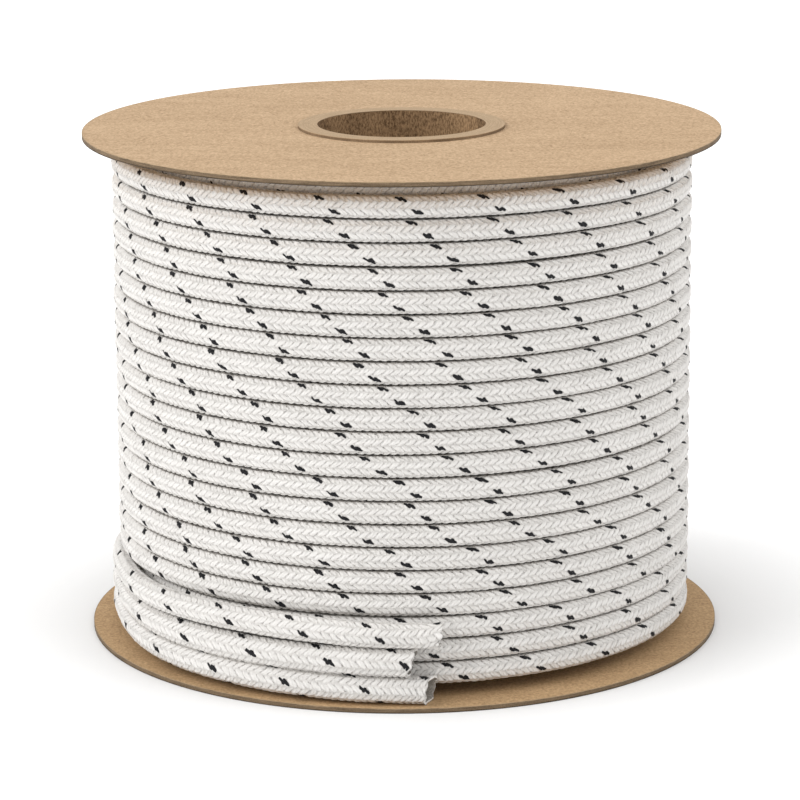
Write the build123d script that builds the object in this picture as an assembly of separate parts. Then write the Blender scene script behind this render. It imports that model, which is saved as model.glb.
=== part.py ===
from build123d import *
from math import degrees, pi, sqrt
import os

# Paperboard reel of braided dock line, standing on its lower flange.
# Millimetres. Origin at the middle of the lower flange's underside, +Z up
# the axis of the core, -Y towards the cut ends of the lines.

# ---------------------------------------------------------------- sizes
bore_d = 76.2  # inside of the paper core
core_wall = 8.7  # spirally wound board
core_proud = 1.3  # the core stands this far above the upper flange
flange_t = 2.2  # two plies of chipboard glued together
flange_border = 12.7  # bare board outside the outermost turns

line_d = 10.0  # double braid under winding tension
turn_gap = 0.17  # between turns laid side by side
nest_gap = 0.61  # between a turn and the two that it lies on
layers = 9
passes = 7  # passes of the ribbon of lines in a layer
lines = 3  # laid side by side as one ribbon
first_gap = 5.5  # under the lowest turn of every second layer, the outer one too
flange_gap = 1.145  # over the highest turn of the layers between

tail_d = 11.3  # a cut end swells once nothing pulls on it
cover_wall = 1.4
core_recess = 9.0  # the braided core draws back into its cover
tail_lift = 0.05  # air between a tail and the turns beneath
tail_start = 212.0  # bearing from +X, in degrees, where the tails lie clear of the turns

# The tails from the flange up: bearing of the cut end, and the air under the tail.
tails = {
    "c": (275.7, 1.75),
    "b": (272.4, 1.5),
    "a": (277.1, 1.7),
}

# -------------------------------------------------------------- derived
bore_r = bore_d / 2
core_r = bore_r + core_wall
pitch = line_d + turn_gap
stagger = pitch / 2
layer_step = sqrt((line_d + nest_gap) ** 2 - stagger**2)
turns = passes * lines
wound_height = turns * pitch
traverse = first_gap + wound_height + stagger + flange_gap
upper_face = flange_t + traverse  # underside of the upper flange
reel_height = upper_face + flange_t


def turn_radius(layer):
    """Centre radius of a layer's turns, counted from 0 on the core."""
    return core_r + line_d / 2 + layer * layer_step


def layer_low(layer):
    """Bottom of a layer: every second one starts half a turn higher."""
    lifted = (layers - 1 - layer) % 2
    return flange_t + first_gap + lifted * stagger


outer_turn_r = turn_radius(layers - 1)
crest = outer_turn_r + line_d / 2
flange_r = crest + flange_border
tail_r = crest + tail_lift + tail_d / 2
cover_bore_r = tail_d / 2 - cover_wall


def ring(outer, inner, low, high):
    """A plain annular solid on the reel's axis."""
    with BuildPart() as built:
        with BuildSketch(Plane.XY.offset(low)):
            Circle(outer)
            Circle(inner, mode=Mode.SUBTRACT)
        extrude(amount=high - low)
    return built.part


# --------------------------------------------------------------- pieces
pieces = {}

# The core runs through both flanges: flush below, proud above.
pieces["core_tube"] = ring(core_r, bore_r, 0, reel_height + core_proud)
pieces["bottom_flange"] = ring(flange_r, core_r, 0, flange_t)
pieces["top_flange"] = ring(flange_r, core_r, upper_face, reel_height)

# The wound lines, one sleeve for each layer, touching face to face.
for layer in range(layers - 1):
    inside = core_r if layer == 0 else turn_radius(layer) - layer_step / 2
    outside = turn_radius(layer) + layer_step / 2
    low = layer_low(layer)
    name = f"winding_layer_{layer + 1}"
    pieces[name] = ring(outside, inside, low, low + wound_height)

# The outer layer shows its turns as rounds on a plain sleeve.
inside = outer_turn_r - layer_step / 2
low = layer_low(layers - 1)
with BuildPart() as outer_layer:
    with BuildSketch(Plane.XZ):
        with Locations(((inside + outer_turn_r) / 2, low + wound_height / 2)):
            Rectangle(outer_turn_r - inside, wound_height)
        for turn in range(turns):
            with Locations((outer_turn_r, low + (turn + 0.5) * pitch)):
                Circle(line_d / 2)
        with Locations(((inside + crest) / 2, low + wound_height / 2)):
            Rectangle(crest - inside, wound_height, mode=Mode.INTERSECT)
    revolve(axis=Axis.Z)
pieces[f"winding_layer_{layers}"] = outer_layer.part


def along_arc(height, end, outer, inner=0.0):
    """A round tube or bar lying level on the turns, from tail_start to end."""
    path = CenterArc((0, 0, height), tail_r, tail_start, end - tail_start)
    with BuildPart() as built:
        with BuildLine():
            add(path)
        with BuildSketch(Plane(path @ 0, z_dir=path % 0)):
            Circle(outer)
            if inner:
                Circle(inner, mode=Mode.SUBTRACT)
        sweep()
    return built.part


# The three loose ends, one above another: a cover and, drawn back inside it, a core.
height = flange_t - tail_d / 2
for letter, (end, air) in tails.items():
    height += air + tail_d
    core_end = end - degrees(core_recess / tail_r)
    pieces[f"tail_{letter}_cover"] = along_arc(height, end, tail_d / 2, cover_bore_r)
    pieces[f"tail_{letter}_core"] = along_arc(height, core_end, cover_bore_r)
    print(f"tail {letter} centre height {height:.2f}")

# --------------------------------------------------------------- export
os.makedirs("parts", exist_ok=True)
for name, piece in pieces.items():
    piece.label = name
    export_step(piece, f"parts/{name}.step")
    box = piece.bounding_box()
    print(
        f"{name:18s} {piece.volume / 1000:9.2f} cm3  "
        f"z {box.min.Z:7.2f} to {box.max.Z:7.2f}  solids {len(piece.solids())}"
    )

wound = passes * sum(2 * pi * turn_radius(layer) for layer in range(layers))
print(f"core radius {core_r:.3f}, turn pitch {pitch:.3f}, layer step {layer_step:.4f}")
print(f"outer turns' centre radius {outer_turn_r:.3f}, tails' {tail_r:.3f}")
print(f"flange diameter {2 * flange_r:.2f}, traverse {traverse:.2f}")
print(f"each line on the reel about {wound / 1000:.2f} m")
print(f"overall height {reel_height + core_proud:.2f}")
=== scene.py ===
import math

import bpy
import numpy as np
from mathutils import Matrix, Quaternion, Vector


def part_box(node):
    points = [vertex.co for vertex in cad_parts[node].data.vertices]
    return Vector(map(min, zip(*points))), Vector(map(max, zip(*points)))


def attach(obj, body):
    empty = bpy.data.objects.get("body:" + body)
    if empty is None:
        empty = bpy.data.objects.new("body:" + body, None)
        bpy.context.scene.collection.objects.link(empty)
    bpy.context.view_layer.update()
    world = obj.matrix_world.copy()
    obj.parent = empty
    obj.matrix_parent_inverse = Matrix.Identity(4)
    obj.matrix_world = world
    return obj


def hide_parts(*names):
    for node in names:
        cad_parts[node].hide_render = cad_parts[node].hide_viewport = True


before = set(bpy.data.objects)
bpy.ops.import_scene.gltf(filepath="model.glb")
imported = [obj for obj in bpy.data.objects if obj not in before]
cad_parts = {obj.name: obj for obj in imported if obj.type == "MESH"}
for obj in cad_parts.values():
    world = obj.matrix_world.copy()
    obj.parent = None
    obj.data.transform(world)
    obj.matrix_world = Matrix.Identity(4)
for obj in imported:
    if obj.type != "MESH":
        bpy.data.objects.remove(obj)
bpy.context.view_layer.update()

# ---------------------------------------------------------------- the camera
# A long lens a little above the reel, looking down on it, with the cut ends
# of the lines towards it. The small shift keeps the sides nearly upright.

flange_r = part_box("bottom_flange")[1].x
lens_data = bpy.data.cameras.new("camera")
lens_data.sensor_width = 36
lens_data.lens = 157.8
lens_data.shift_y = -0.1
lens_data.clip_end = 50
camera = bpy.data.objects.new("camera", lens_data)
camera.location = (-0.0085 * flange_r, -10.877 * flange_r, 3.36 * flange_r)
downward = 12.38  # degrees below level
roll = -0.35  # degrees
camera.rotation_mode = "QUATERNION"
look_down = Quaternion((1, 0, 0), math.radians(90 - downward))
camera.rotation_quaternion = look_down @ Quaternion((0, 0, 1), math.radians(roll))
bpy.context.scene.collection.objects.link(camera)
bpy.context.scene.camera = camera

# ------------------------------------------------- how the lines are wound on
# Three lengths of 10 mm double braid run side by side as one ribbon. It goes
# round the core seven times to a layer, down in one layer and up in the next.

line_d = 0.010
line_names = ("a", "b", "c")
passes = 7  # of the ribbon, in each layer
layer_names = [f"winding_layer_{n}" for n in range(1, 10)]
sleeves = [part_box(name) for name in layer_names]
layer_step = sleeves[-2][1].x - sleeves[-3][1].x
turn_pitch = (sleeves[-1][1].z - sleeves[-1][0].z) / (passes * len(line_names))
turn_r = [sleeve[1].x - layer_step / 2 for sleeve in sleeves[:-1]]
turn_r.append(sleeves[-1][1].x - line_d / 2)
core_r = turn_r[0] - line_d / 2
first_bearing = 155.0  # degrees from +X, where every pass begins
step_over = 70.0  # degrees in which the ribbon steps over to its next place
steps = 36  # points to a turn
round_steps = 0.75 + 0.25 * math.cos(2 * math.pi / steps)  # what the spline keeps of the radius
whole_passes = passes * len(sleeves)


def ease(x):
    """From 0 to 1, starting and ending gently."""
    x = min(max(x, 0.0), 1.0)
    return x * x * (3 - 2 * x)


def place_of(count, line):
    """Centre radius and height of a line in that pass of the ribbon."""
    count = min(count, whole_passes - 1)
    layer, row = divmod(count, passes)
    lowest = 3 * row if layer % 2 else 3 * (passes - 1 - row)
    return turn_r[layer], sleeves[layer][0].z + (lowest + 2 - line + 0.5) * turn_pitch


# The cut ends: bearing of each line's cut, and the height of the line's middle
# at some bearings on the way there.
cut_bearing = (276.4, 271.3, 274.5)
tail_heights = (
    ((200, 0.0331), (235, 0.0347), (250, 0.0342), (267, 0.0323), (278, 0.0321)),
    ((190, 0.0230), (225, 0.0224), (250, 0.0215), (268, 0.0206), (273, 0.0205)),
    ((185, 0.0128), (225, 0.0115), (250, 0.0099), (268, 0.0083), (276, 0.0083)),
)
tail_leaves = first_bearing - step_over  # the bearing where the tails leave the winding
tail_rise = 0.0033  # how far they come out as they step over
climb_from = 190  # degrees, where they start up onto the outer turns
climb_over = 35  # degrees that this takes
tail_climb = 0.0074  # how far it takes them out


def unevenness(angle, seeds):
    """A slow wander of hand-guided winding, about -1 to 1."""
    wander = 0
    for i, (rate, seed) in enumerate(zip((0.31, 1.27, 2.61, 4.3, 7.1), seeds)):
        wander += math.sin(angle * rate + seed) / (1 + 0.25 * i)
    return wander / 2.4


def pressed_in(bearing, height, radius):
    """How far the turns under the tails are pushed towards the core."""
    under = ease((bearing - 80) / 28) * (1 - ease((bearing - climb_from) / climb_over))
    share = ease((sleeves[-1][0].z + 3.6 * turn_pitch - height) / turn_pitch)
    return tail_climb * under * share * (radius - core_r) / (turn_r[-1] - core_r)


def route_of(line):
    """The line's own points, from the core to its cut end."""
    dice = np.random.default_rng(41)
    wander_z, wander_r = dice.uniform(0, 2 * math.pi, (2, 5))
    own = np.random.default_rng(50 + line).uniform(0, 2 * math.pi, 5)
    last = whole_passes + (cut_bearing[line] - first_bearing) / 360
    points = []
    for i in range(math.ceil(last * steps) + 1):
        turn = min(i / steps, last)
        count = int(turn)
        across = ((turn - count) * 360 - (360 - step_over)) / step_over
        across = 0.6 * min(max(across, 0.0), 1.0) + 0.4 * ease(across)
        radius, height = place_of(count, line)
        next_radius, next_height = place_of(count + 1, line)
        radius += (next_radius - radius) * ease(across)
        height += (next_height - height) * across
        bearing = first_bearing + turn * 360
        leaving = bearing - 360 * whole_passes  # negative before the tails' own round
        if leaving > tail_leaves:
            radius += tail_rise * ease((leaving - tail_leaves) / 25)
            radius += tail_climb * ease((leaving - climb_from) / climb_over)
            bearings, heights = zip(*tail_heights[line])
            settle = float(np.interp(leaving, bearings, heights))
            height += (settle - height) * ease((leaving - 185) / 30)
        else:
            radius -= pressed_in(bearing % 360, height, radius)
        angle = math.radians(turn * 360)
        radius += 0.00014 * unevenness(angle, wander_r) + 0.00008 * unevenness(1.7 * angle, own)
        height += 0.00016 * unevenness(angle, wander_z)
        spot = math.radians(bearing)
        out = radius / round_steps
        points.append((out * math.cos(spot), out * math.sin(spot), height))
    return points


def laid_curve(name, points):
    """Points along the limp line that one open spline lays through these."""
    data = bpy.data.curves.new(name, "CURVE")
    data.dimensions = "3D"
    data.resolution_u = 12
    spline = data.splines.new("NURBS")
    spline.points.add(len(points) - 1)
    for spot, point in zip(spline.points, points):
        spot.co = (*point, 1.0)
    spline.order_u = 3
    spline.use_endpoint_u = True
    bare = bpy.data.objects.new(name, data)
    mesh = bpy.data.meshes.new_from_object(bare)
    along = np.empty(len(mesh.vertices) * 3)
    mesh.vertices.foreach_get("co", along)
    bpy.data.meshes.remove(mesh)
    bpy.data.objects.remove(bare)
    bpy.data.curves.remove(data)
    return along.reshape(-1, 3)


# -------------------------------------------------------- the finish of the cover
# Bright white polyester yarn, twenty bobbins of two yarns each, with one
# bobbin of black for a tracer. Slightly glossy filaments; their colour holds
# painted shade in the hollows and seams, and painted light on the crests.


class Wire:
    """A socket in a material, with arithmetic that adds its Math nodes."""

    def __init__(self, tree, socket=None):
        self.tree = tree
        self.socket = socket

    def node(self, kind, settings, inputs, output=0):
        """A node of that type: its settings first, then its values and links."""
        made = self.tree.nodes.new("ShaderNode" + kind)
        for name, value in settings.items():
            setattr(made, name, value)
        for name, value in inputs.items():
            if isinstance(value, Wire):
                self.tree.links.new(value.socket, made.inputs[name])
            else:
                made.inputs[name].default_value = value
        return Wire(self.tree, made.outputs[output])

    def maths(self, operation, *values, clamp=False):
        settings = {"operation": operation, "use_clamp": clamp}
        return self.node("Math", settings, dict(enumerate(values)))

    def __add__(self, other):
        return self.maths("ADD", self, other)

    def __sub__(self, other):
        return self.maths("SUBTRACT", self, other)

    def __rsub__(self, other):
        return self.maths("SUBTRACT", other, self)

    def __mul__(self, other):
        return self.maths("MULTIPLY", self, other)

    def __rmul__(self, other):
        return self.maths("MULTIPLY", other, self)

    def __truediv__(self, other):
        return self.maths("DIVIDE", self, other)

    def within(self, low, high):
        """0 at low and 1 at high, and no further."""
        return self.maths("DIVIDE", self - low, high - low, clamp=True)

    def scaled(self, amounts):
        """This vector, times an amount along each axis."""
        return self.node("VectorMath", {"operation": "MULTIPLY"}, {0: self, 1: amounts})

    def noise(self, scale, detail=2.0, roughness=0.5):
        """Cloudy noise where this vector is, about 0.3 to 0.7."""
        look = {"Vector": self, "Scale": scale, "Detail": detail, "Roughness": roughness}
        return self.node("TexNoise", {}, look)

    def mix(self, colour_a, colour_b):
        """colour_a where this is 0 and colour_b where it is 1."""
        settings = {"data_type": "RGBA", "clamp_factor": True}
        return self.node("Mix", settings, {0: self, 6: colour_a, 7: colour_b}, 2)

    def bump(self, distance, strength=1.0):
        """A normal for this height, whose 0 to 1 is that many metres."""
        return self.node("Bump", {}, {"Height": self, "Distance": distance, "Strength": strength})


def finish_of(name):
    """A material, its empty Wire, and its surface shader's sockets."""
    material = bpy.data.materials.new(name)
    material.use_nodes = True
    surface = material.node_tree.nodes["Principled BSDF"]
    return material, Wire(material.node_tree), surface.inputs


def feed(wire, socket):
    """Joins a Wire to a socket of the surface shader."""
    wire.tree.links.new(wire.socket, socket)


lead = 0.0343  # one full turn of a bobbin round the line
strands = 10  # of each hand, two yarns in each

cover, start, surface = finish_of("cover")
place = start.node("TexCoord", {}, {}, "Object")
lay = start.node("UVMap", {"uv_map": "lay"}, {})
round_it = start.node("SeparateXYZ", {}, {0: lay}, "X")  # in turns round the line
down_it = start.node("SeparateXYZ", {}, {0: lay}, "Y")  # in leads along it
fibre = lay.scaled((46, 9, 0)).noise(1.0, 3.0, 0.6)


def hand_of(across, along, first):
    """Height of one hand of strands, nearness to a yarn's crest, strand, and float."""
    number = start.maths("FLOOR", across + 0.5)
    side = across - number
    onward = along + number - first
    pair = start.maths("FLOOR", onward / 4 + 0.5)
    onward = onward - pair * 4
    edge = start.maths("ABSOLUTE", side)
    height = 0.9 * start.maths("COSINE", onward * (math.pi / 2)) + 1 - start.maths("POWER", edge * 2, 2.5)
    # its two yarns lie side by side, one a little ahead of the other
    apart, half_width = 0.22, 0.30
    ahead, half_length = 0.36, 0.78
    yarns = []
    for sign in (1, -1):
        wide = (side - apart * sign) / half_width
        long = (onward + ahead * sign) / half_length
        yarns.append(1 - (wide * wide + long * long))
    # a number of its own for every float
    ident = (number - pair * 2) * 7.3 + start.maths("FLOORED_MODULO", pair, strands / 2) * 3.1
    return height, start.maths("MAXIMUM", *yarns), number, ident


elsewhere = place.node("VectorMath", {"operation": "ADD"}, {0: place, 1: (0.4, 0.3, 0.2)})
pull_a = place.noise(330.0, 2.0) - 0.5
pull_b = elsewhere.noise(330.0, 2.0) - 0.5
along_a = (round_it + down_it) * strands + pull_a * 0.8
along_b = (round_it - down_it) * strands + pull_b * 0.8
height_a, yarn_a, number_a, ident_a = hand_of(along_a, along_b, 0.5)
height_b, yarn_b, number_b, ident_b = hand_of(along_b, along_a, 2.5)
height = start.maths("MAXIMUM", height_a, height_b)
on_top = start.maths("GREATER_THAN", height_a, height_b)
yarn = yarn_b + on_top * (yarn_a - yarn_b)
ident = ident_b + on_top * (ident_a - ident_b + 0.37)
chance = start.node("TexWhiteNoise", {"noise_dimensions": "1D"}, {"W": ident}, "Value")
soiling = place.noise(38.0, 3.0).within(0.3, 0.7)
speck = place.noise(900.0, 2.0, 0.7).within(0.3, 0.7)
# painted light: each yarn is coloured paler along its crest and darker on its flanks, as if lit round its
# curve
crest_light = yarn.within(-0.7, 0.7)
hollow_shade = 1 - height.within(0.15, 0.8)
tone = crest_light * 0.44 + fibre.within(0.3, 0.72) * 0.2 + soiling * 0.12 + speck * 0.08 + chance * 0.16
white = tone.mix((0.60, 0.577, 0.547, 1), (0.86, 0.839, 0.812, 1))
# painted shade: the cover is darker and browner where it dips between its strands
white = (hollow_shade * 0.58).mix(white, (0.30, 0.265, 0.225, 1))

# painted shade where the turns lie against each other, in the seams between them, but not on the tails
half_turn_shift = 0.1156  # turns round the line, to put each contact at 0.25
tails_begin = (80.0, 84.0)  # leads past the tracer's first mark
contact_shade = start.maths("FLOORED_MODULO", round_it + half_turn_shift, 0.5) - 0.25
contact_shade = 1 - (start.maths("ABSOLUTE", contact_shade) + crest_light * 0.03).within(0.04, 0.062)
seam_shade_off_tails = contact_shade * (1 - down_it.within(*tails_begin))
white = (seam_shade_off_tails * 0.35).mix(white, (0.17, 0.115, 0.07, 1))

# the tracer is one bobbin of the twenty, and its float's ends show a little too
one_bobbin = start.maths("LESS_THAN", start.maths("FLOORED_MODULO", number_a, strands), 0.5)
nearly_on_top = start.maths("GREATER_THAN", height_a + 0.35, height_b)
black = yarn_a.within(-0.14, 0.02) * nearly_on_top * one_bobbin
feed(black.mix(white, (0.011, 0.011, 0.013, 1)), surface["Base Color"])
feed(0.66 - 0.16 * fibre.within(0.35, 0.7), surface["Roughness"])
relief = height * 0.4 + yarn.within(-1.2, 1.0) * 0.75 + fibre * 0.3 + 0.1 * speck
feed(relief.bump(0.0005, 1.0), surface["Normal"])
surface["Specular IOR Level"].default_value = 0.2

# the inside of the cover, painted dark grey as the shade deep inside the hollow line
cover_inside_shade, start, surface = finish_of("cover_inside_shade")
place = start.node("TexCoord", {}, {}, "Object")
fibre = place.noise(1700.0, 3.0, 0.7)
feed(fibre.within(0.3, 0.7).mix((0.12, 0.108, 0.095, 1), (0.36, 0.335, 0.30, 1)), surface["Base Color"])
feed(0.85 - 0.1 * fibre, surface["Roughness"])
feed(fibre.bump(0.0003, 0.8), surface["Normal"])

# and its cut edge, clean white
cut_edge, start, surface = finish_of("cut_edge")
fibre = start.node("TexCoord", {}, {}, "Object").noise(1900.0, 2.0, 0.7)
feed(fibre.within(0.3, 0.7).mix((0.62, 0.60, 0.57, 1), (0.88, 0.865, 0.845, 1)), surface["Base Color"])
surface["Roughness"].default_value = 0.7

# ------------------------------------------------------------ the braided cover
# Strands of one hand have a whole number for a, and of the other for b. Each
# goes over two and under two, and lies in the hollow between its neighbours.

around = 3 * strands  # points round the line, three to a strand of either hand
lift = 0.0003  # how far a strand rises as it goes over
crown = 0.0004  # how round each strand is
twist = 41.6  # degrees, where the strands that go over stand round the line
ring_gap = lead / (2 * around)
# a random amount for every float: by hand, by place round the line, and along it
jitter = np.random.default_rng(11).uniform(-1, 1, (2, strands // 2, 4096))
plain_passes = 54.75  # of the ribbon, too deep for anything of them to show
mark_pass = 59  # the pass whose tracer marks the others are counted from
wound_r = 0.00448  # to the hollows of the braid, where it is wound tight


def spread(hand, over, number):
    """The float's own random amount, the same all along it."""
    _, places, many = jitter.shape
    return jitter[hand, (over % places).astype(int), (number % many).astype(int)]


def strand_height(u, v):
    """How high the cover stands there, on whichever hand of strands is on top."""
    a = strands * (u + v)
    b = strands * (u - v)
    number_a = np.floor(a + 0.5)
    number_b = np.floor(b + 0.5)
    along_a = b + number_a - 0.5
    along_b = a + number_b - 2.5
    over_a = np.round(along_a / 4)
    over_b = np.round(along_b / 4)
    spread_a = spread(0, over_a, number_a - 2 * over_a)
    spread_b = spread(1, over_b, 2 * over_b - number_b)
    two_yarns = ((0, 0.25, 0.5), (0.78, 1, 0))
    round_a = np.interp(np.abs(a - number_a), *two_yarns)
    round_b = np.interp(np.abs(b - number_b), *two_yarns)
    up_a = lift * (1 + 0.35 * spread_a) * np.cos(math.pi / 2 * along_a) + crown * round_a
    up_b = lift * (1 + 0.35 * spread_b) * np.cos(math.pi / 2 * along_b) + crown * round_b
    return np.maximum(up_a, up_b)


def measured(track):
    """Distance along the line and turns round the reel, at each of its points."""
    gaps = np.linalg.norm(np.diff(track, axis=0), axis=1)
    turns = np.unwrap(np.arctan2(track[:, 1], track[:, 0])) / (2 * math.pi)
    return np.concatenate([[0], np.cumsum(gaps)]), turns - turns[0]


def along_line(track, far):
    """The line's middle, and its outward, upward and onward directions."""
    gone, _ = measured(track)

    def at(distance):
        return np.stack([np.interp(distance, gone, track[:, axis]) for axis in range(3)], axis=1)

    middle = at(far)
    onward = at(np.minimum(far + 0.003, gone[-1])) - at(np.maximum(far - 0.003, 0))
    onward /= np.linalg.norm(onward, axis=1)[:, None]
    outward = middle * (1, 1, 0)
    outward -= onward * (outward * onward).sum(1)[:, None]
    outward /= np.linalg.norm(outward, axis=1)[:, None]
    return middle, outward, np.cross(outward, onward), onward


class Skin:
    """Points and faces collected for one mesh, and the points' lay on the cover."""

    def __init__(self):
        self.points = []
        self.lay = []
        self.faces = []
        self.slots = []
        self.count = 0
        self.shown_from = 0.0

    def add_points(self, points, lay=()):
        """Adds points with their place on the unrolled cover; gives their numbers."""
        self.points.append(points.reshape(-1, 3))
        self.lay.append(np.reshape(lay, (-1, 2)))
        first = self.count
        self.count += len(self.points[-1])
        return np.arange(first, self.count)

    def add_faces(self, corners, slots=0):
        self.faces.append(corners)
        self.slots.append(np.broadcast_to(slots, len(corners)))

    def mesh(self, name):
        """The mesh, smooth, with its faces in the order they were added."""
        sizes = np.concatenate([np.full(len(f), f.shape[1]) for f in self.faces])
        corners = np.concatenate([f.reshape(-1) for f in self.faces])
        made = bpy.data.meshes.new(name)
        made.vertices.add(self.count)
        made.vertices.foreach_set("co", np.concatenate(self.points).reshape(-1))
        made.loops.add(len(corners))
        made.loops.foreach_set("vertex_index", corners.astype(np.int32))
        made.polygons.add(len(sizes))
        starts = np.concatenate([[0], np.cumsum(sizes)[:-1]])
        made.polygons.foreach_set("loop_start", starts.astype(np.int32))
        made.polygons.foreach_set("material_index", np.concatenate(self.slots).astype(np.int32))
        made.polygons.foreach_set("use_smooth", np.ones(len(sizes), bool))
        made.update(calc_edges=True)
        return made, corners, sizes


def unroll(skin, made, corners, sizes, rows):
    """Adds the cover's own UV map, and one that packs what is seen in rows."""
    lay = np.concatenate(skin.lay)[corners]
    starts = np.concatenate([[0], np.cumsum(sizes)[:-1]])
    face = np.repeat(np.arange(len(sizes)), sizes)
    low = np.minimum.reduceat(lay[:, 0], starts)[face]
    high = np.maximum.reduceat(lay[:, 0], starts)[face]
    lay[:, 0] += (high - low > 0.5) & (lay[:, 0] < 0.5)
    made.uv_layers.new(name="lay").data.foreach_set("uv", lay.reshape(-1).astype(np.float32))
    # rows with a margin round each, and a strip along the top for what is hidden
    deepest = lay[:, 1].min()
    shown = -np.minimum.reduceat(-lay[:, 1], starts)[face] > skin.shown_from
    run = np.where(shown, lay[:, 1] - skin.shown_from, 0)
    row_length = run.max() * 1.01 / rows
    row = np.floor(np.minimum.reduceat(run, starts)[face] / row_length)
    across = (row + 0.05 + 0.82 * lay[:, 0]) / (rows + 0.5)
    packed = np.stack([0.006 + 0.98 * (run - row * row_length) / row_length, across], axis=1)
    hidden = (lay[:, 1] - deepest) / (skin.shown_from - deepest)
    unseen = np.stack([0.01 + 0.98 * hidden, 1 - 0.015 + 0.008 * lay[:, 0]], axis=1)
    packed = np.where(shown[:, None], packed, unseen)
    made.uv_layers.new(name="OFBake").data.foreach_set("uv", packed.reshape(-1).astype(np.float32))
    made.uv_layers["OFBake"].active = True


def eased_share(share):
    """The same as ease, for an array."""
    share = np.clip(share, 0, 1)
    return share * share * (3 - 2 * share)


def swelling(left, line):
    """Radius of the cover's hollows at that distance from the cut end."""
    loose_r = (0.0050, 0.0056, 0.0054)[line]
    grown = eased_share(1.35 - left / 0.16)
    flared = 0.0004 * np.clip(1 - left / 0.004, 0, 1) ** 2
    return wound_r + (loose_r - wound_r) * grown + flared


def cut_shape(theta, line):
    """How far the cut reaches beyond the line's end, round the line."""
    slant_out, slant_up = ((-0.0005, 0.0008), (-0.0007, 0.0017), (-0.0022, 0.0010))[line]
    ragged = 0.0004 * np.sin(3 * theta + line) + 0.0004 * np.sin(7 * theta + 2 * line)
    return slant_out * np.cos(theta) + slant_up * np.sin(theta) + ragged


def braided(skin, track, line, tracer_at):
    """The cover that shows, up to the cut: how far each ring is, and the last ring."""
    gone, turns = measured(track)
    length = gone[-1]
    tracer_at = tracer_at + 1.5 * ring_gap
    first = int((np.interp(plain_passes, turns, gone) - tracer_at) / ring_gap)
    count = int((length - tracer_at) / ring_gap) - first
    step = np.arange(first, first + count)
    far = tracer_at + step * ring_gap
    turn = np.interp(far, gone, turns)
    past = turn - whole_passes  # turns into the tail
    # the lay is a little longer high on the reel than low on it
    far = far + 0.03 * lead * (np.clip(turn, 55, 62) - mark_pass) ** 2
    # the tails have slid and turned a little as they loosened
    loosened = eased_share((past + 0.25) / 0.5)
    far = far + lead * (0.26, 0.39, 0.45)[line] * loosened
    far = far - 0.14 * lead * np.clip((past - 0.27) / 0.05, 0, 1)
    far = np.minimum(far, length)
    last_bit = np.clip((past - 0.312) / 0.013, 0, 1)
    turned = math.radians((14, 24, 31)[line]) * loosened + math.radians((42, 0, 0)[line]) * last_bit
    middle, outward, upward, onward = along_line(track, far)
    # every other ring is half a point round, and the points fall in the hollows
    odd = step % 2
    halves = 2 * np.arange(around)[None, :] + odd[:, None]
    u = halves / (2 * around) + 0.5 / strands
    v = step[:, None] / (2 * around) + 0 * u
    left = length - far
    radius = swelling(left, line)[:, None] + strand_height(u, v)
    fuzz = np.random.default_rng(90 + line).normal(0, 0.00002, radius.shape)
    theta = 2 * math.pi * u + math.radians(twist) + turned[:, None]
    # side by side, the wound lines press each other a little square and flat
    held = np.clip(1 - (past + 0.1) / 0.2, 0, 1)[:, None]
    radius = radius * (1 - 0.035 * held * np.cos(4 * theta)) + fuzz
    out = radius * np.cos(theta)
    up = radius * np.sin(theta)
    shoulder = 0.00455
    most = 0.00048  # that the crests may stand past the shoulder
    flat = np.sign(up) * (shoulder + most * np.tanh((np.abs(up) - shoulder) / most))
    up = np.where(np.abs(up) > shoulder, held * flat + (1 - held) * up, up)
    # the cut is not quite square, and its last strands stand open
    cut = cut_shape(theta, line) * np.clip(1 - left / 0.012, 0, 1)[:, None]
    points = middle[:, None, :] + outward[:, None, :] * out[:, :, None]
    points = points + upward[:, None, :] * up[:, :, None]
    points = points + onward[:, None, :] * cut[:, :, None]
    at = skin.add_points(points, np.stack([u, v], axis=2)).reshape(count, around)
    skin.shown_from = v[0, 0]
    # one lozenge at each place between neighbours in a ring
    i = np.arange(1, count - 1)[:, None]
    j = np.arange(around)[None, :]
    shift = odd[1:-1, None]
    right = (j + 1) % around
    beyond = (j + shift) % around
    quads = np.stack([at[i, j], at[i - 1, beyond], at[i, right], at[i + 1, beyond]], axis=2)
    skin.add_faces(quads.reshape(-1, 4))
    j = np.arange(around)
    for ring, inner in ((0, 1), (count - 1, count - 2)):
        beyond = (j + odd[ring]) % around
        fan = np.stack([at[ring, j], at[inner, beyond], at[ring, (j + 1) % around]], axis=1)
        skin.add_faces(fan[:, ::-1] if ring == 0 else fan)
    return far, at[-1], theta[-1], u[-1], v[-1]


def plain_tube(skin, track, stop, tracer_at):
    """The line deep in the winding, out of sight, as a smooth tube."""
    sides = 14
    far = np.linspace(0, stop, int(stop / 0.006) + 1)
    middle, outward, upward, _ = along_line(track, far)
    u = np.arange(sides)[None, :] / sides + 0 * far[:, None]
    theta = 2 * math.pi * u
    sideways = outward[:, None, :] * np.cos(theta)[:, :, None]
    sideways = sideways + upward[:, None, :] * np.sin(theta)[:, :, None]
    points = middle[:, None, :] + line_d / 2 * sideways
    lay = np.stack([u, (far[:, None] - tracer_at) / lead + 0 * u], axis=2)
    at = skin.add_points(points, lay).reshape(len(far), sides)
    right = np.roll(at, -1, axis=1)
    skin.add_faces(np.stack([at[:-1], at[1:], right[1:], right[:-1]], axis=2).reshape(-1, 4))
    skin.add_faces(at[0][None, :])
    return far


lines = {}
tracks = {}
mark_bearing = (271.709, 273.609, 278.230)  # of each line's tracer mark, on that pass
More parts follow.
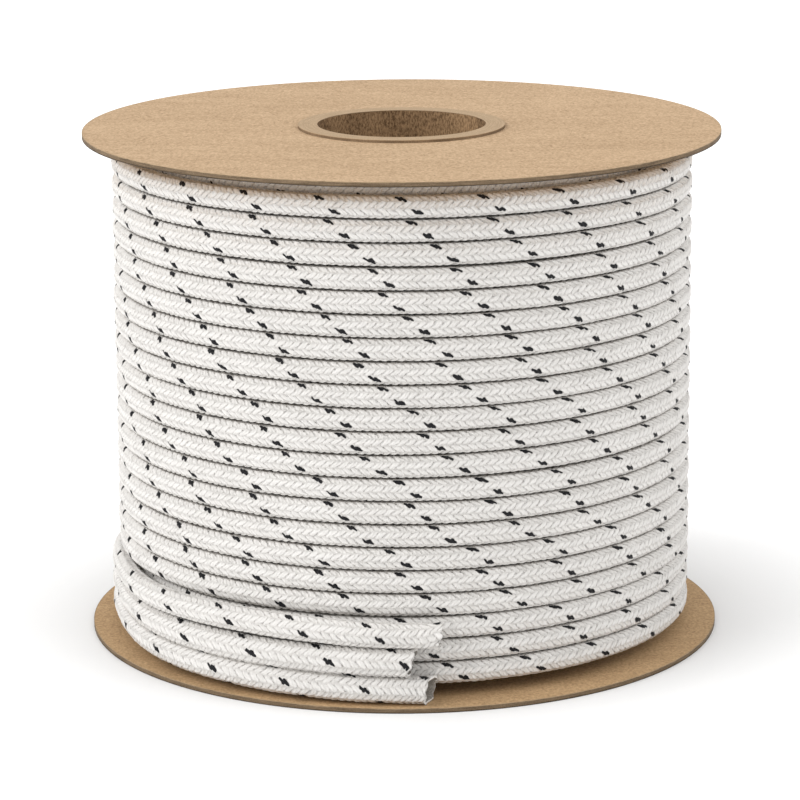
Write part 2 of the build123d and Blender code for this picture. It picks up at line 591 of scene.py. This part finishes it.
# The cut edge of the cover, and its inside going back from there: how far on
# each ring is, how deep into the cover, and how much of the cut's ragged shape it has.
wall = (
    (0.00015, 0.0003, 1.0),
    (0.0001, 0.0011, 1.0),
    (-0.0008, 0.0013, 0.95),
    (-0.003, 0.0014, 0.7),
    (-0.006, 0.0014, 0.4),
    (-0.010, 0.0014, 0.1),
    (-0.014, 0.0014, 0.0),
)
for line, letter in enumerate(line_names):
    track = laid_curve(f"route_{letter}", route_of(line))
    tracks[letter] = track
    gone, turns = measured(track)
    length = float(gone[-1])
    mark_turn = mark_pass + (mark_bearing[line] - first_bearing) / 360
    tracer_at = float(np.interp(mark_turn, turns, gone))
    skin = Skin()
    stop = float(np.interp(plain_passes + 0.01, turns, gone))
    inner_far = plain_tube(skin, track, stop, tracer_at)
    outer_far, last, theta, rim_u, rim_v = braided(skin, track, line, tracer_at)
    # the cover is cut through: round the edge and back inside as a thin wall
    crest_r = float(swelling(np.array([0.0]), line)[0]) + 0.0005
    for forward, thick, wavy in wall:
        ahead = max(forward, 0.0) + wavy * cut_shape(theta, line)
        middle, out, up, on = along_line(track, np.array([length + min(forward, 0.0)]))
        ring = np.cos(theta)[:, None] * out + np.sin(theta)[:, None] * up
        ring = middle + (crest_r - thick) * ring + ahead[:, None] * on
        row = skin.add_points(ring, np.stack([rim_u, rim_v + 0 * rim_u], axis=1))
        slot = 1 if forward < 0 else 2  # the inside of the cover in painted shade, or its cut edge
        skin.add_faces(np.stack([last, row, np.roll(row, -1), np.roll(last, -1)], axis=1), slot)
        last = row
    made, corners, sizes = skin.mesh(f"line_{letter}")
    unroll(skin, made, corners, sizes, 14)
    for finish in (cover, cover_inside_shade, cut_edge):
        made.materials.append(finish)
    obj = bpy.data.objects.new(f"line_{letter}", made)
    bpy.context.scene.collection.objects.link(obj)
    path = along_line(track, np.concatenate([inner_far, outer_far[4::8]]))[0]
    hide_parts(f"tail_{letter}_cover", *layer_names)
    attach(obj, "root")
    lines[letter] = (obj, path, length)
    print(f"line {letter}: {length:.3f} m, {len(made.polygons)} faces")

# ------------------------------------------------------ the lines' inner cores
# Each cover holds a softer braided core, which has drawn back from the cut by
# some 9 mm and shows as a grey-white plug of yarn ends deep in the cover.

core_yarn, start, surface = finish_of("core_yarn")
place = start.node("TexCoord", {}, {}, "Object")
strand = place.noise(1500.0, 3.0, 0.7)
depth = place.noise(420.0, 2.0)
tone = strand.within(0.3, 0.7) * 0.7 + depth.within(0.3, 0.7) * 0.3
feed(tone.mix((0.30, 0.29, 0.27, 1), (0.66, 0.65, 0.62, 1)), surface["Base Color"])
feed(0.8 - 0.1 * strand, surface["Roughness"])
feed(strand.bump(0.0003, 0.8), surface["Normal"])

inner_r = 0.0037
drawn_back = 0.010
stub_length = 0.085  # as far back as it is drawn; the rest is out of sight
sides = 48
theta = 2 * math.pi * np.arange(sides) / sides
yarns = 0.000132 * np.abs(np.sin(6 * theta))  # how far its yarns stand out
for line, letter in enumerate(line_names):
    track = tracks[letter]
    length = lines[letter][2]
    stub = Skin()
    dice = np.random.default_rng(30 + line)
    rows = []

    def add_ring(back, radius, ahead):
        """A ring that far back from the cut, pushed on by an amount for each point."""
        middle, out, up, on = along_line(track, np.array([length - back]))
        ring = np.cos(theta)[:, None] * out + np.sin(theta)[:, None] * up
        ring = middle + radius[:, None] * ring + ahead[:, None] * on
        rows.append(stub.add_points(ring))

    for back in np.linspace(stub_length, drawn_back + 0.0005, 40):
        add_ring(back, inner_r + yarns + dice.normal(0, 0.00003, sides), 0 * theta)
    for share in (0.92, 0.74, 0.5, 0.26, 0.08):
        ends = 0.0006 * np.abs(np.sin(9 * theta + 8 * share)) + dice.normal(0, 0.0002, sides)
        add_ring(drawn_back, inner_r * share + yarns, ends + 0.0009 * (1 - share))
    for low, high in zip(rows, rows[1:]):
        stub.add_faces(np.stack([low, high, np.roll(high, -1), np.roll(low, -1)], axis=1))
    stub.add_faces(rows[0][None, :])
    stub.add_faces(rows[-1][None, ::-1])
    made, _, _ = stub.mesh(f"core_{letter}")
    made.materials.append(core_yarn)
    obj = bpy.data.objects.new(f"core_{letter}", made)
    bpy.context.scene.collection.objects.link(obj)
    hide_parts(f"tail_{letter}_core")
    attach(obj, "root")

for letter in line_names:
    obj, path, length = lines[letter]

# ------------------------------------------------------------------ the flanges
# Two discs of brown chipboard, each of two plies glued together and punched
# out, so the rim shows darker torn fibre and the faces a smooth kraft liner.

top_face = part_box("top_flange")[1].z
low_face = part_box("bottom_flange")[1].z
under_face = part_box("top_flange")[0].z
flange_board, start, surface = finish_of("flange_board")
place = start.node("TexCoord", {}, {}, "Object")
flat = place.scaled((1, 1, 0))
radius = start.node("VectorMath", {"operation": "LENGTH"}, {0: flat}, "Value")
height = start.node("SeparateXYZ", {}, {0: place}, "Z")
pulp = place.scaled((0.45, 1, 1)).noise(1500.0, 3.0, 0.65)
cross_pulp = place.scaled((1, 0.5, 1)).noise(900.0, 2.0, 0.6)
cloud = place.scaled((0.5, 1, 1)).noise(42.0, 3.0, 0.55)
streak = place.scaled((0.12, 1, 1)).noise(190.0, 2.0, 0.6)
tone = pulp.within(0.38, 0.62) * 0.5 + cross_pulp.within(0.38, 0.62) * 0.28
tone = tone + cloud.within(0.32, 0.68) * 0.12 + streak.within(0.34, 0.7) * 0.1
liner = tone.mix((0.36, 0.228, 0.12, 1), (0.735, 0.525, 0.33, 1))
# painted shade: the lower flange's face gets a darker, browner copy of the liner, for the light the reel
# holds off it
lower_flange_shade = 1 - height.within(0.01, 0.05)
shaded_liner = tone.mix((0.33, 0.20, 0.095, 1), (0.66, 0.45, 0.25, 1))
liner = lower_flange_shade.mix(liner, shaded_liner)
splinter = place.scaled((1, 0.3, 1)).noise(700.0, 1.0).within(0.66, 0.74)
liner = (splinter * 0.35).mix(liner, (0.24, 0.14, 0.07, 1))
torn = place.scaled((90, 90, 2600)).noise(1.0, 3.0, 0.6)
crumbs = place.noise(2200.0, 2.0, 0.7)
rim_tone = torn.within(0.35, 0.66) * 0.6 + crumbs.within(0.35, 0.65) * 0.4
rim_board = rim_tone.mix((0.07, 0.045, 0.024, 1), (0.27, 0.19, 0.115, 1))

# the rim is paler along its upper edge: the liner turned over it, and a painted highlight where the
# rounded edge would catch the light
below_top = start.maths("ABSOLUTE", height - top_face)
below_low = start.maths("ABSOLUTE", height - low_face)
lip_highlight = start.maths("MINIMUM", below_top, below_low) + place.noise(260.0, 2.0) * 0.0006
rim_board = (1 - lip_highlight.within(0.0004, 0.0006)).mix(rim_board, (0.42, 0.30, 0.18, 1))

# and in shade along its under edge
above_under = start.maths("ABSOLUTE", height - under_face)
under = 1 - start.maths("MINIMUM", height, above_under).within(0.0002, 0.0007)
rim_board = (under * 0.8).mix(rim_board, (0.03, 0.021, 0.013, 1))
on_rim = radius.within(flange_r - 0.00035, flange_r - 0.00015)
feed(on_rim.mix(liner, rim_board), surface["Base Color"])
feed(0.86 - 0.1 * pulp, surface["Roughness"])
relief = pulp * 0.5 + cross_pulp * 0.3 + on_rim * torn * 2.0
feed(relief.bump(0.00016, 0.8), surface["Normal"])
surface["Specular IOR Level"].default_value = 0.3

# --------------------------------------------------------------- the paper core
# A tube of spirally wound board that goes through both flanges. Its plies show
# as rings where it is cut off, and the seam of its liner winds up the bore.

core_board, start, surface = finish_of("core_board")
place = start.node("TexCoord", {}, {}, "Object")
flat = place.scaled((1, 1, 0))
radius = start.node("VectorMath", {"operation": "LENGTH"}, {0: flat}, "Value")
axes = start.node("SeparateXYZ", {}, {0: place}, "X")
depth = start.node("SeparateXYZ", {}, {0: place}, "Y")
height = start.node("SeparateXYZ", {}, {0: place}, "Z")
bearing = start.maths("ARCTAN2", depth, axes)
pulp = place.scaled((1, 1, 0.5)).noise(1300.0, 3.0, 0.65)
cloud = place.noise(60.0, 3.0)
tone = pulp.within(0.38, 0.62) * 0.7 + cloud.within(0.35, 0.65) * 0.3
lining = tone.mix((0.09, 0.047, 0.018, 1), (0.47, 0.295, 0.155, 1))
seam_rise = 0.19  # for one turn round the bore
seam = start.maths("FRACT", height / seam_rise - bearing / (2 * math.pi))
seam = start.maths("ABSOLUTE", seam - 0.5)
lining = (0.55 * (1 - seam.within(0.0008, 0.003))).mix(lining, (0.12, 0.07, 0.035, 1))
plies = start.node("CombineXYZ", {}, {0: radius * 2400, 1: bearing * 3, 2: 0.0}).noise(1.0, 2.0)
crumbs = place.noise(1800.0, 2.0, 0.7)
end_tone = plies.within(0.35, 0.65) * 0.5 + crumbs.within(0.35, 0.65) * 0.5
end_board = end_tone.mix((0.33, 0.225, 0.13, 1), (0.60, 0.435, 0.275, 1))
core_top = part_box("core_tube")[1].z
at_end = height.within(core_top - 0.0003, core_top - 0.0001)
outside = radius.within(core_r - 0.0004, core_r - 0.0002) * (1 - at_end)
bare = end_tone.mix((0.14, 0.09, 0.05, 1), (0.31, 0.215, 0.13, 1))
board = outside.mix(at_end.mix(lining, end_board), bare)
feed(board, surface["Base Color"])
feed(0.88 - 0.1 * pulp, surface["Roughness"])
relief = pulp * 0.6 + at_end * plies + outside * crumbs
feed(relief.bump(0.00016, 0.8), surface["Normal"])
surface["Specular IOR Level"].default_value = 0.3

boards = {"bottom_flange": flange_board, "top_flange": flange_board, "core_tube": core_board}
for node, finish in boards.items():
    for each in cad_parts[node].material_slots:
        each.material = finish

# ------------------------------------------------------------------- the studio
# A wide white floor that gives a little light of its own away from the reel
# and none near it, which leaves a painted contact shadow round the reel;
# even light, and a large soft lamp on each side: the left one is the stronger.

floor_mesh = bpy.data.meshes.new("floor")
floor_mesh.from_pydata([(-9, -6, 0), (9, -6, 0), (9, 14, 0), (-9, 14, 0)], [], [(0, 1, 2, 3)])
floor = bpy.data.objects.new("floor", floor_mesh)
pale, start, surface = finish_of("pale_floor")
surface["Base Color"].default_value = (0.88, 0.88, 0.88, 1)
surface["Roughness"].default_value = 0.9
surface["Specular IOR Level"].default_value = 0.1
place = start.node("TexCoord", {}, {}, "Object")
reach = start.node("VectorMath", {"operation": "LENGTH"}, {0: place}, "Value")
# painted shadow: the floor does not glow close round the reel
glow_past_painted_shadow = reach.within(flange_r - 0.01, flange_r + 0.08)
feed(glow_past_painted_shadow.mix((0, 0, 0, 1), (1, 1, 1, 1)), surface["Emission Color"])
surface["Emission Strength"].default_value = 0.32
floor_mesh.materials.append(pale)
bpy.context.scene.collection.objects.link(floor)

sky = bpy.data.worlds.new("studio")
sky.use_nodes = True
sky.node_tree.nodes["Background"].inputs["Color"].default_value = (1, 1, 1, 1)
sky.node_tree.nodes["Background"].inputs["Strength"].default_value = 0.72
bpy.context.scene.world = sky

lamps = (("left", 1.55, (0.88, 0.33, -0.62)), ("right", 0.65, (-0.9, 0.3, -0.8)))
for name, energy, towards in lamps:
    lamp_data = bpy.data.lights.new(f"lamp_{name}", "SUN")
    lamp_data.energy = energy
    lamp_data.angle = math.radians(48)
    lamp = bpy.data.objects.new(f"lamp_{name}", lamp_data)
    lamp.rotation_mode = "QUATERNION"
    lamp.rotation_quaternion = Vector(towards).to_track_quat("-Z", "Y")
    bpy.context.scene.collection.objects.link(lamp)
bpy.context.scene.view_settings.view_transform = "Standard"
